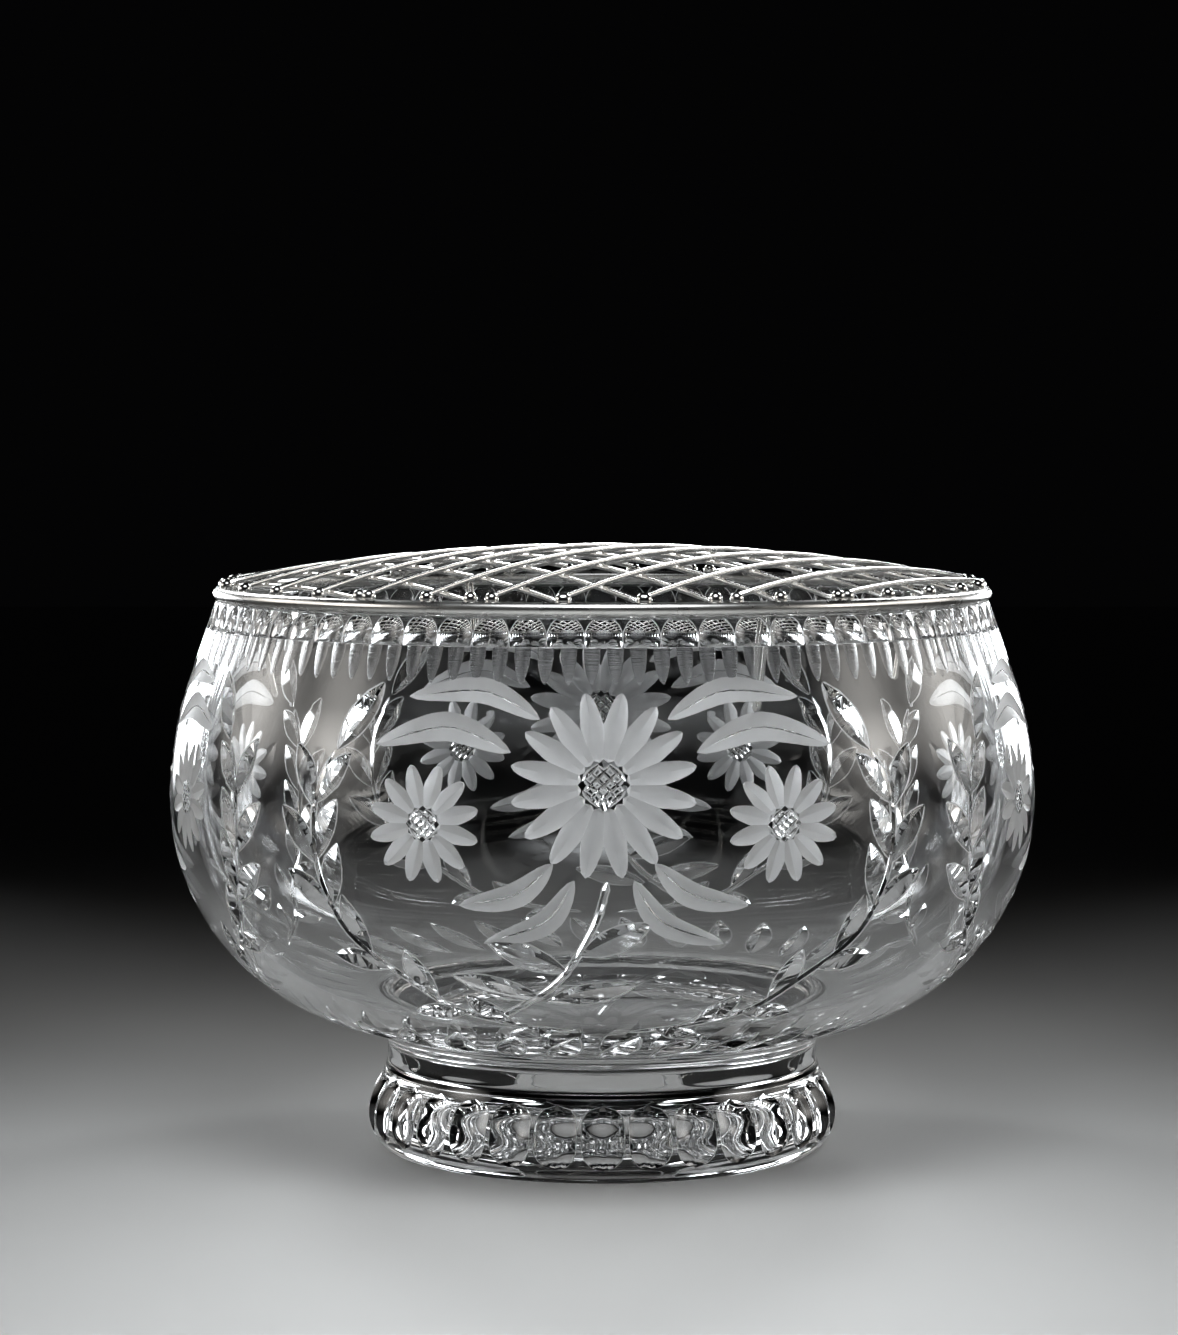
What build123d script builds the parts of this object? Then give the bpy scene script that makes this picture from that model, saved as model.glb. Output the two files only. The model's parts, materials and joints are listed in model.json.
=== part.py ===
from build123d import *

import os
from math import asin, atan2, cos, degrees, hypot, pi, radians, sin, sqrt, tan

# Footed cut-crystal rose bowl with a lift-off wire flower grille.
# Millimetres, +Z up, origin at the middle of the face that the foot stands on.
# Front is -Y. Angles around the bowl run from the front towards +X.

# Glass bowl
BELLY_RADIUS = 115.0
BELLY_HEIGHT = 93.0  # height of the widest ring above the table
RIM_HEIGHT = 145.4
SHOULDER_ARC = 95.0  # radius of the curve above the belly
SHOULDER_LEAN = 18.5  # degrees off vertical of the straight stretch below the rim
LOWER_ARC = 61.0  # radius of the curve below the belly
WALL = 6.0
RIM_ROUND = 0.8

# Glass foot
BASE_RADIUS = 59.5  # outer edge of the flat ring that stands on the table
STAND_WIDTH = 13.5  # of that flat ring
FOOT_SWELL = 3.3  # how far the foot's widest ring stands out past the base
FOOT_BULGE_HEIGHT = 8.0  # level of the foot's widest ring
SEAM_HEIGHT = 24.5  # level where the foot was joined hot to the bowl
NECK_TUCK = 1.9  # how far the neck is drawn in from the base
NECK_FILLET = 6.0
RECESS_DEPTH = 4.5

# Cuts that shape the glass edges
RIM_SCOOPS = 72
RIM_SCOOP_RADIUS = 8.5
RIM_SCOOP_DEPTH = 1.5
RIM_SCOOP_DROP = 4.6  # from the rim down to the middle of a scoop
FOOT_FLUTES = 32
FOOT_FLUTE_RADIUS = 9.0
FOOT_FLUTE_DEPTH = 1.6

# Wire grille
RING_WIRE = 3.4  # thickness of the ring
RING_OVERHANG = 0.6  # how far the ring stands out past the glass rim
SEAT_GAP = 0.05
GRID_WIRE = 1.5
GRID_WIRES = 12  # wires in each of the two layers
GRID_ANGLE = 30.0  # degrees between a wire and the front-to-back line
GRID_TOUCH = 0.02  # gap between the two layers where wires cross
DOME_RISE = 9.0
BEAD_COVER = 0.2  # solder over the outer side of two stacked wires
BEAD_SINK = 0.7  # how deep a bead has run down onto the ring
BEAD_RAKE = 58.0  # degrees above level of the line from the ring's middle to a bead's

# Spring legs, each a hairpin of wire
LEG_COUNT = 4
LEG_FIRST_ANGLE = 23.8
LEG_WIRE = 1.0
LEG_GAP = 1.4  # between the centre lines of a hairpin's two strands
LEG_LENGTH = 25.0  # from the bend under the ring down to the hairpin's tip
LEG_LEAN = 11.0  # degrees, inwards going down
LEG_BEND = 1.2
LEG_DROP = 0.75  # leg's root, down from the ring's centre line
MOUTH_CLEARANCE = 0.4

# Sizes that follow from those above
SHOULDER_CENTRE = BELLY_RADIUS - SHOULDER_ARC
LOWER_CENTRE = BELLY_RADIUS - LOWER_ARC
LEAN = radians(SHOULDER_LEAN)
SHOULDER_TOP = BELLY_HEIGHT + SHOULDER_ARC * sin(LEAN)
FOOT_RADIUS = BASE_RADIUS + FOOT_SWELL
NECK_RADIUS = BASE_RADIUS - NECK_TUCK
RECESS_RADIUS = BASE_RADIUS - STAND_WIDTH


def shoulder_radius(height, wall):
    """Radius of the straight shoulder at a height, wall inside the outer face."""
    start = SHOULDER_CENTRE + SHOULDER_ARC * cos(LEAN) - wall / cos(LEAN)
    return start - (height - SHOULDER_TOP) * tan(LEAN)


RIM_RADIUS = shoulder_radius(RIM_HEIGHT, 0)
MOUTH_RADIUS = shoulder_radius(RIM_HEIGHT, WALL)
RING_RADIUS = RIM_RADIUS + RING_OVERHANG - RING_WIRE / 2
RING_HEIGHT = RIM_HEIGHT + SEAT_GAP + RING_WIRE / 2
BEAD_RADIUS = GRID_WIRE + BEAD_COVER
BEAD_REACH = RING_WIRE / 2 + BEAD_RADIUS - BEAD_SINK
BEAD_CIRCLE = RING_RADIUS - BEAD_REACH * cos(radians(BEAD_RAKE))
BEAD_HEIGHT = RING_HEIGHT + BEAD_REACH * sin(radians(BEAD_RAKE))
DOME_RADIUS = (BEAD_CIRCLE**2 + DOME_RISE**2) / (2 * DOME_RISE)
DOME_CENTRE = BEAD_HEIGHT + DOME_RISE - DOME_RADIUS
GRID_PITCH = 2 * BEAD_CIRCLE / GRID_WIRES
LAYER_OFFSET = (GRID_WIRE + GRID_TOUCH) / 2


def around(angle, radius, height):
    """Point at an angle in degrees from the front, towards +X."""
    turn = radians(angle)
    return Vector(radius * sin(turn), -radius * cos(turn), height)


def turned(*edges):
    """Solid of revolution about Z of an outline drawn in X and Z."""
    outline = Plane.XZ * make_face(Wire(list(edges)))
    return revolve(outline, Axis.Z)


def bowl_blank():
    """Bowl with its outer and inner walls, before any cutting."""
    fillet_x = NECK_RADIUS + NECK_FILLET
    fillet_y = BELLY_HEIGHT - sqrt((LOWER_ARC + NECK_FILLET) ** 2 - (fillet_x - LOWER_CENTRE) ** 2)
    fillet_turn = degrees(atan2(BELLY_HEIGHT - fillet_y, fillet_x - LOWER_CENTRE))
    inner_arc = LOWER_ARC - WALL
    floor = BELLY_HEIGHT - inner_arc
    inner_start = shoulder_radius(SHOULDER_TOP, 0) - WALL * cos(LEAN)
    inner_top = SHOULDER_TOP - WALL * sin(LEAN)
    outer_shoulder = (shoulder_radius(SHOULDER_TOP, 0), SHOULDER_TOP)
    return turned(
        Line((0, SEAM_HEIGHT), (NECK_RADIUS, SEAM_HEIGHT)),
        Line((NECK_RADIUS, SEAM_HEIGHT), (NECK_RADIUS, fillet_y)),
        CenterArc((fillet_x, fillet_y), NECK_FILLET, 180, -fillet_turn),
        CenterArc((LOWER_CENTRE, BELLY_HEIGHT), LOWER_ARC, -fillet_turn, fillet_turn),
        CenterArc((SHOULDER_CENTRE, BELLY_HEIGHT), SHOULDER_ARC, 0, SHOULDER_LEAN),
        Line(outer_shoulder, (RIM_RADIUS, RIM_HEIGHT)),
        Line((RIM_RADIUS, RIM_HEIGHT), (MOUTH_RADIUS, RIM_HEIGHT)),
        Line((MOUTH_RADIUS, RIM_HEIGHT), (inner_start, inner_top)),
        CenterArc((SHOULDER_CENTRE, BELLY_HEIGHT), SHOULDER_ARC - WALL, 0, SHOULDER_LEAN),
        CenterArc((LOWER_CENTRE, BELLY_HEIGHT), inner_arc, -90, 90),
        Line((LOWER_CENTRE, floor), (0, floor)),
        Line((0, floor), (0, SEAM_HEIGHT)),
    )


def glass_bowl():
    """Bowl with a rounded lip and a row of thumb scoops cut below it."""
    blank = bowl_blank()
    lip = blank.edges().group_by(Axis.Z)[-1]
    blank = fillet(lip, RIM_ROUND)
    scoop_height = RIM_HEIGHT - RIM_SCOOP_DROP
    reach = RIM_SCOOP_RADIUS - RIM_SCOOP_DEPTH
    scoop_circle = shoulder_radius(scoop_height, 0) + reach * cos(LEAN)
    scoop_level = scoop_height + reach * sin(LEAN)
    step = 360 / RIM_SCOOPS
    scoops = [
        Pos(*around(n * step, scoop_circle, scoop_level)) * Sphere(RIM_SCOOP_RADIUS)
        for n in range(RIM_SCOOPS)
    ]
    return blank - scoops


def glass_foot():
    """Foot with an ogee side, a hollow underneath and flutes cut round its bulge."""
    base_arc = ((FOOT_RADIUS - BASE_RADIUS) ** 2 + FOOT_BULGE_HEIGHT**2) / (2 * (FOOT_RADIUS - BASE_RADIUS))
    base_turn = degrees(asin(FOOT_BULGE_HEIGHT / base_arc))
    rise = SEAM_HEIGHT - FOOT_BULGE_HEIGHT
    draw_in = FOOT_RADIUS - NECK_RADIUS
    ogee_turn = 2 * atan2(draw_in, rise)
    ogee_arc = rise / (2 * sin(ogee_turn))
    recess_arc = (RECESS_RADIUS**2 + RECESS_DEPTH**2) / (2 * RECESS_DEPTH)
    recess_turn = degrees(asin(RECESS_RADIUS / recess_arc))
    blank = turned(
        CenterArc((0, RECESS_DEPTH - recess_arc), recess_arc, 90, -recess_turn),
        Line((RECESS_RADIUS, 0), (BASE_RADIUS, 0)),
        CenterArc((FOOT_RADIUS - base_arc, FOOT_BULGE_HEIGHT), base_arc, -base_turn, base_turn),
        CenterArc((FOOT_RADIUS - ogee_arc, FOOT_BULGE_HEIGHT), ogee_arc, 0, degrees(ogee_turn)),
        CenterArc((NECK_RADIUS + ogee_arc, SEAM_HEIGHT), ogee_arc, 180, degrees(ogee_turn)),
        Line((NECK_RADIUS, SEAM_HEIGHT), (0, SEAM_HEIGHT)),
        Line((0, SEAM_HEIGHT), (0, RECESS_DEPTH)),
    )
    flute_circle = FOOT_RADIUS - FOOT_FLUTE_DEPTH + FOOT_FLUTE_RADIUS
    step = 360 / FOOT_FLUTES
    flutes = [
        Pos(*around(n * step, flute_circle, SEAM_HEIGHT / 2)) * Cylinder(FOOT_FLUTE_RADIUS, SEAM_HEIGHT)
        for n in range(FOOT_FLUTES)
    ]
    return blank - flutes


def rim_ring():
    """Thick wire ring that rests on the glass rim."""
    return Pos(0, 0, RING_HEIGHT) * Torus(RING_RADIUS, RING_WIRE / 2)


def wire_direction(layer):
    """Plan direction of a layer's wires: +1 is the upper layer, -1 the lower."""
    turn = radians(GRID_ANGLE) * layer
    return Vector(sin(turn), cos(turn), 0)


def wire_ends(layer, number):
    """Angles from the front of both ends of one grid wire."""
    along = wire_direction(layer)
    aside = Vector(along.Y, -along.X, 0) * (number - (GRID_WIRES - 1) / 2) * GRID_PITCH
    half = sqrt(BEAD_CIRCLE**2 - aside.length**2)
    ends = [aside - along * half, aside + along * half]
    return [degrees(atan2(end.X, -end.Y)) for end in ends]


def bead_spheres(angle, all_ends):
    """Solder balls that touch a wire end: its own, and a neighbour's that runs into it."""
    near = degrees(2 * BEAD_RADIUS / BEAD_CIRCLE)
    close = [end for end in all_ends if abs((end - angle + 180) % 360 - 180) < near]
    return [Pos(*around(end, BEAD_CIRCLE, BEAD_HEIGHT)) * Sphere(BEAD_RADIUS) for end in close]


def grid_wire(layer, number, all_ends, ring):
    """One wire, bent to the dome, with its ends let into the solder beads and clear of the ring."""
    dome = DOME_RADIUS + layer * LAYER_OFFSET
    angles = wire_ends(layer, number)
    height = DOME_CENTRE + sqrt(dome**2 - BEAD_CIRCLE**2)
    first, last = [around(angle, BEAD_CIRCLE, height) for angle in angles]
    middle = (first + last) / 2
    top = Vector(middle.X, middle.Y, DOME_CENTRE + sqrt(dome**2 - hypot(middle.X, middle.Y) ** 2))
    path = ThreePointArc(first, top, last)
    section = Plane(origin=first, z_dir=path % 0) * Circle(GRID_WIRE / 2)
    balls = [ball for angle in angles for ball in bead_spheres(angle, all_ends)]
    return sweep(section, path=path) - balls - ring


def solder_beads(all_ends, ring):
    """Every bead as its own solid, seated on the ring; beads that meet are one."""
    near = degrees(2 * BEAD_RADIUS / BEAD_CIRCLE)
    beads = []
    waiting = sorted(end % 360 for end in all_ends)
    while waiting:
        group = [waiting.pop(0)]
        while waiting and waiting[0] - group[-1] < near:
            group.append(waiting.pop(0))
        balls = [Pos(*around(end, BEAD_CIRCLE, BEAD_HEIGHT)) * Sphere(BEAD_RADIUS) for end in group]
        blob = balls[0] if len(balls) == 1 else balls[0] + balls[1:]
        beads.append(blob - ring)
    return Compound(children=[solid for bead in beads for solid in bead.solids()])


def leg_place(number):
    """Angle from the front of one spring leg."""
    return LEG_FIRST_ANGLE + number * 360 / LEG_COUNT


def spring_leg(number, ring):
    """Hairpin soldered under the ring, bent down inside the mouth and leaning in."""
    angle = leg_place(number)
    root = RING_RADIUS
    drop = MOUTH_RADIUS - MOUTH_CLEARANCE - LEG_WIRE / 2
    top = RING_HEIGHT - LEG_DROP
    tip_radius = drop - LEG_LENGTH * tan(radians(LEG_LEAN))
    side = Vector(cos(radians(angle)), sin(radians(angle)), 0) * (LEG_GAP / 2)
    down = [around(angle, root, top), around(angle, drop, top), around(angle, tip_radius, top - LEG_LENGTH)]
    points = [point + side for point in down] + [point - side for point in reversed(down)]
    tip_round = 0.45 * LEG_GAP
    path = FilletPolyline(*points, radius=[LEG_BEND, tip_round, tip_round, LEG_BEND])
    section = Plane(origin=points[0], z_dir=points[1] - points[0]) * Circle(LEG_WIRE / 2)
    return sweep(section, path=path) - ring


def build():
    """All pieces by node name."""
    ring = rim_ring()
    layers = {"over": 1, "under": -1}
    all_ends = [end for layer in layers.values() for n in range(GRID_WIRES) for end in wire_ends(layer, n)]
    pieces = {"glass_bowl": glass_bowl(), "glass_foot": glass_foot(), "rim_ring": ring}
    for name, layer in layers.items():
        for number in range(GRID_WIRES):
            pieces[f"{name}_wire_{number + 1:02d}"] = grid_wire(layer, number, all_ends, ring)
    pieces["solder_beads"] = solder_beads(all_ends, ring)
    for number in range(LEG_COUNT):
        pieces[f"spring_leg_{number + 1}"] = spring_leg(number, ring)
    return pieces


def main():
    os.makedirs("parts", exist_ok=True)
    for name, piece in build().items():
        export_step(piece, f"parts/{name}.step")
    print("belly diameter", 2 * BELLY_RADIUS, "grid pitch", round(GRID_PITCH, 2))
    print("mouth diameter", round(2 * MOUTH_RADIUS, 1), "rim flute pitch", round(2 * pi * RIM_RADIUS / RIM_SCOOPS, 2))


main()
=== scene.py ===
import json
from math import asin, atan2, ceil, cos, degrees, hypot, pi, radians, sin, sqrt, tan

import bmesh
import bpy
import numpy as np
from bpy.props import FloatProperty, FloatVectorProperty, IntProperty, PointerProperty
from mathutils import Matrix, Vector

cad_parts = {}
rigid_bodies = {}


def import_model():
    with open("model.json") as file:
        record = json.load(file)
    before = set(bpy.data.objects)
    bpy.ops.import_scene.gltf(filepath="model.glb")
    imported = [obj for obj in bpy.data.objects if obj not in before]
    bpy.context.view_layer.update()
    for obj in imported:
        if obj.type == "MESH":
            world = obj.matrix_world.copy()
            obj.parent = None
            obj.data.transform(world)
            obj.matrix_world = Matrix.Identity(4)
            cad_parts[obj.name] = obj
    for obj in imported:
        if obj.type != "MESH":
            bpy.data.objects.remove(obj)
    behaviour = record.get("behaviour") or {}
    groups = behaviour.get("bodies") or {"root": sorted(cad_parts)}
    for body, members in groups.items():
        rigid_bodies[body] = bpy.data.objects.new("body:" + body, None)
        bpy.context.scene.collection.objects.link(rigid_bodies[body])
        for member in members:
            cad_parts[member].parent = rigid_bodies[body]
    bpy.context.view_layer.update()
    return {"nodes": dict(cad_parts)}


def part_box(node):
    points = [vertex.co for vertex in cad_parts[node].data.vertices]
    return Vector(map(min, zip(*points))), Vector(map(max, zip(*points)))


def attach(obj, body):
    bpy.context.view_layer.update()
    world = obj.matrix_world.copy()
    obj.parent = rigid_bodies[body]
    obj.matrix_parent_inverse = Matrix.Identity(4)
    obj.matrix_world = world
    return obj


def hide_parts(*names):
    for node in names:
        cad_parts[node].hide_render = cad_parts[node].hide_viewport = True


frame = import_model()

bl_info = {
    "name": "Rose Bowl",
    "version": (1, 0, 0),
    "blender": (4, 5, 0),
    "location": "View3D > Sidebar > Rose Bowl",
    "description": "Footed cut-crystal rose bowl with a lift-off wire grille",
    "category": "Object",
}

# Metres, +Z up. Front is -Y, and angles round the bowl run in degrees from the front towards +X.
# A rise is a length along the outer wall, up from the widest ring of the bowl.
BOWL_LOW, BOWL_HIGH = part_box("glass_bowl")
MM = 0.001
PANELS = 4  # the same engraved panel at the front, right, back and left


class RoseBowlBlank(bpy.types.PropertyGroup):
    """Sizes of the glass before it is cut."""

    belly_radius: FloatProperty(
        name="Belly radius", description="Radius of the widest ring", default=BOWL_HIGH[0], unit="LENGTH")
    belly_height: FloatProperty(
        name="Belly height", description="Height of the widest ring", default=0.093, unit="LENGTH")
    rim_height: FloatProperty(
        name="Rim height", description="Height of the glass rim", default=BOWL_HIGH[2], unit="LENGTH")
    shoulder_arc: FloatProperty(
        name="Shoulder curve", description="Radius of the curve above the belly",
        default=0.095, unit="LENGTH")
    shoulder_lean: FloatProperty(
        name="Shoulder lean", description="Lean of the straight stretch below the rim",
        default=radians(18.5), unit="ROTATION")
    lower_arc: FloatProperty(
        name="Lower curve", description="Radius of the curve below the belly", default=0.061, unit="LENGTH")
    wall: FloatProperty(
        name="Wall", description="Thickness of the glass wall", default=0.006, unit="LENGTH")
    rim_round: FloatProperty(
        name="Rim rounding", description="Rounding of both edges of the rim", default=0.0008, unit="LENGTH")
    seam_height: FloatProperty(
        name="Seam height", description="Level where the foot meets the bowl",
        default=BOWL_LOW[2], unit="LENGTH")
    neck_radius: FloatProperty(
        name="Neck radius", description="Radius of the neck above the foot", default=0.0576, unit="LENGTH")
    neck_fillet: FloatProperty(
        name="Neck fillet", description="Hollow curve between neck and bowl", default=0.006, unit="LENGTH")
    foot_radius: FloatProperty(
        name="Foot radius", description="Radius of the foot's bulge", default=0.0628, unit="LENGTH")
    foot_bulge: FloatProperty(
        name="Foot bulge height", description="Height of the foot's widest ring",
        default=0.008, unit="LENGTH")
    base_radius: FloatProperty(
        name="Base radius", description="Outer edge of the standing ring", default=0.0595, unit="LENGTH")
    recess_radius: FloatProperty(
        name="Recess radius", description="Edge of the hollow under the foot", default=0.046, unit="LENGTH")
    recess_depth: FloatProperty(
        name="Recess depth", description="Depth of the hollow under the foot", default=0.0045, unit="LENGTH")
    steps_round: IntProperty(
        name="Steps round", description="Facets round the blank", default=160, min=48)


class RoseBowlCuts(bpy.types.PropertyGroup):
    """Numbers and sizes of the wheel cuts."""

    scoops: IntProperty(name="Rim scoops", description="Thumb scoops below the rim", default=72)
    scoop_width: FloatProperty(
        name="Scoop width", description="Width of a thumb scoop", default=0.0092, unit="LENGTH")
    scoop_height: FloatProperty(
        name="Scoop height", description="Height of a whole thumb scoop", default=0.0116, unit="LENGTH")
    scoop_depth: FloatProperty(
        name="Scoop depth", description="Depth of a thumb scoop", default=0.0012, unit="LENGTH")
    scoop_rise: FloatProperty(
        name="Scoop rise", description="Rise of a scoop's deepest point", default=0.0487, unit="LENGTH")
    ledge_rise: FloatProperty(
        name="Ledge", description="Rise of the line where the scoops end", default=0.0466, unit="LENGTH")
    fringe: IntProperty(name="Fringe cuts", description="Matt tongues below the scoops", default=120)
    fringe_length: FloatProperty(
        name="Fringe length", description="Length of a fringe tongue", default=0.0095, unit="LENGTH")
    fringe_width: FloatProperty(
        name="Fringe width", description="Width of a fringe tongue", default=0.0042, unit="LENGTH")
    fringe_depth: FloatProperty(
        name="Fringe depth", description="Depth of a fringe tongue at its top", default=0.0003, unit="LENGTH")
    leaf_depth: FloatProperty(
        name="Leaf depth", description="Depth of a polished leaf cut", default=0.0014, unit="LENGTH")
    stem_depth: FloatProperty(
        name="Stem depth", description="Depth of a polished stem line", default=0.0006, unit="LENGTH")
    petal_depth: FloatProperty(
        name="Petal depth", description="Depth of a matt petal", default=0.0009, unit="LENGTH")
    wreath: IntProperty(name="Wreath leaves", description="Leaf cuts under the bowl", default=36)
    flutes: IntProperty(name="Foot flutes", description="Upright flutes round the foot", default=32)
    flute_width: FloatProperty(
        name="Flute width", description="Width of a foot flute", default=0.0116, unit="LENGTH")
    flute_low: FloatProperty(
        name="Flute foot", description="Height of a flute's lower end", default=0.0036, unit="LENGTH")
    flute_high: FloatProperty(
        name="Flute top", description="Height of a flute's upper end", default=0.0195, unit="LENGTH")
    flute_depth: FloatProperty(
        name="Flute depth", description="Depth of a foot flute", default=0.0017, unit="LENGTH")


class RoseBowlFinish(bpy.types.PropertyGroup):
    """Colours and gloss of the glass and the metal."""

    crystal: FloatVectorProperty(
        name="Crystal", description="Tint of the clear glass", default=(0.985, 0.99, 0.992), subtype="COLOR")
    crystal_index: FloatProperty(
        name="Refractive index", description="How strongly the crystal bends light", default=1.545)
    frost: FloatVectorProperty(
        name="Matt engraving", description="Colour of the matt cuts",
        default=(0.76, 0.765, 0.77), subtype="COLOR")
    # Near-white colour of the fine cut edges, a painted glint: it makes the edges of the clear cuts read as
    # bright lines of light.
    edge: FloatVectorProperty(
        name="Cut edges", description="Colour of the fine edges of the cuts", default=(0.93, 0.935, 0.94),
        subtype="COLOR")
    silver: FloatVectorProperty(
        name="Silver plate", description="Colour of the bright plate",
        default=(0.82, 0.81, 0.785), subtype="COLOR")
    tarnish: FloatVectorProperty(
        name="Tarnish", description="Colour of the worn plate", default=(0.50, 0.49, 0.46), subtype="COLOR")
    solder: FloatVectorProperty(
        name="Solder", description="Colour of the solder beads", default=(0.70, 0.69, 0.67), subtype="COLOR")


class RoseBowlStage(bpy.types.PropertyGroup):
    """Floor, light and camera."""

    floor: FloatVectorProperty(
        name="Floor", description="Colour of the floor", default=(0.62, 0.62, 0.61), subtype="COLOR")
    floor_size: FloatProperty(name="Floor size", description="Side of the floor", default=6.0, unit="LENGTH")
    surround: FloatVectorProperty(
        name="Surround", description="Colour of the room", default=(0.0012, 0.0012, 0.0013), subtype="COLOR")
    overhead: FloatProperty(
        name="Overhead light", description="Power of the softbox above", default=1.6, unit="POWER")
    sides: FloatProperty(
        name="Side lights", description="Power of each large side softbox", default=0.40, unit="POWER")
    fills: FloatProperty(
        name="Fill lights", description="Power of each softbox towards the front", default=0.35, unit="POWER")
    edges: FloatProperty(
        name="Edge lights", description="Power of each light that draws the outline",
        default=0.08, unit="POWER")
    sparkle: FloatProperty(
        name="Sparkle lights", description="Power of each light behind the cuts", default=0.24, unit="POWER")
    highs: FloatProperty(
        name="High lights", description="Power of each light on the grille wires", default=0.42, unit="POWER")
    warm: FloatVectorProperty(
        name="Warm light", description="Colour of the side softboxes",
        default=(1.0, 0.965, 0.92), subtype="COLOR")
    cool: FloatVectorProperty(
        name="Cool light", description="Colour of the other lights",
        default=(0.94, 0.97, 1.0), subtype="COLOR")
    camera_place: FloatVectorProperty(
        name="Camera place", description="Where the camera stands", default=(-0.0035, -0.925, 0.18715),
        subtype="TRANSLATION", unit="LENGTH")
    camera_dip: FloatProperty(
        name="Camera dip", description="How far the camera looks down",
        default=radians(3.735), unit="ROTATION")
    lens: FloatProperty(name="Lens", description="Focal length in millimetres", default=93.51)


class Arc:
    """Arc of the glass outline, in radius and height, drawn with the glass on its left."""

    def __init__(self, centre, radius, start, end):
        self.centre = centre
        self.radius = radius
        self.start = start
        self.end = end
        self.facing = 1 if end > start else -1
        self.length = radius * abs(end - start)

    def at(self, share):
        """Point at a share of the arc's length."""
        turn = self.start + (self.end - self.start) * share
        return self.centre[0] + self.radius * cos(turn), self.centre[1] + self.radius * sin(turn)

    def miss(self, reach, height):
        """How far points lie from the arc."""
        across = reach - self.centre[0]
        up = height - self.centre[1]
        turn = (np.arctan2(up, across) - (self.start + self.end) / 2 + pi) % (2 * pi) - pi
        past = np.maximum(np.abs(turn) - abs(self.end - self.start) / 2, 0) * self.radius
        return np.hypot(np.hypot(across, up) - self.radius, past)

    def normals(self, reach, height):
        """Ways out of the glass at points on the arc."""
        out = np.stack([reach - self.centre[0], height - self.centre[1]], axis=-1) * self.facing
        return out / np.linalg.norm(out, axis=-1, keepdims=True)


class Straight:
    """Straight stretch of the glass outline, in radius and height, with the glass on its left."""

    def __init__(self, start, end):
        self.start = start
        self.length = hypot(end[0] - start[0], end[1] - start[1])
        self.along = ((end[0] - start[0]) / self.length, (end[1] - start[1]) / self.length)

    def at(self, share):
        """Point at a share of the stretch's length."""
        step = self.length * share
        return self.start[0] + self.along[0] * step, self.start[1] + self.along[1] * step

    def miss(self, reach, height):
        """How far points lie from the stretch."""
        across = reach - self.start[0]
        up = height - self.start[1]
        run = across * self.along[0] + up * self.along[1]
        past = np.maximum(np.maximum(-run, run - self.length), 0)
        return np.hypot(across * self.along[1] - up * self.along[0], past)

    def normals(self, reach, height):
        """The one way out of the glass, once for each point."""
        return np.broadcast_to(np.array([self.along[1], -self.along[0]]), np.shape(reach) + (2,))


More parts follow.
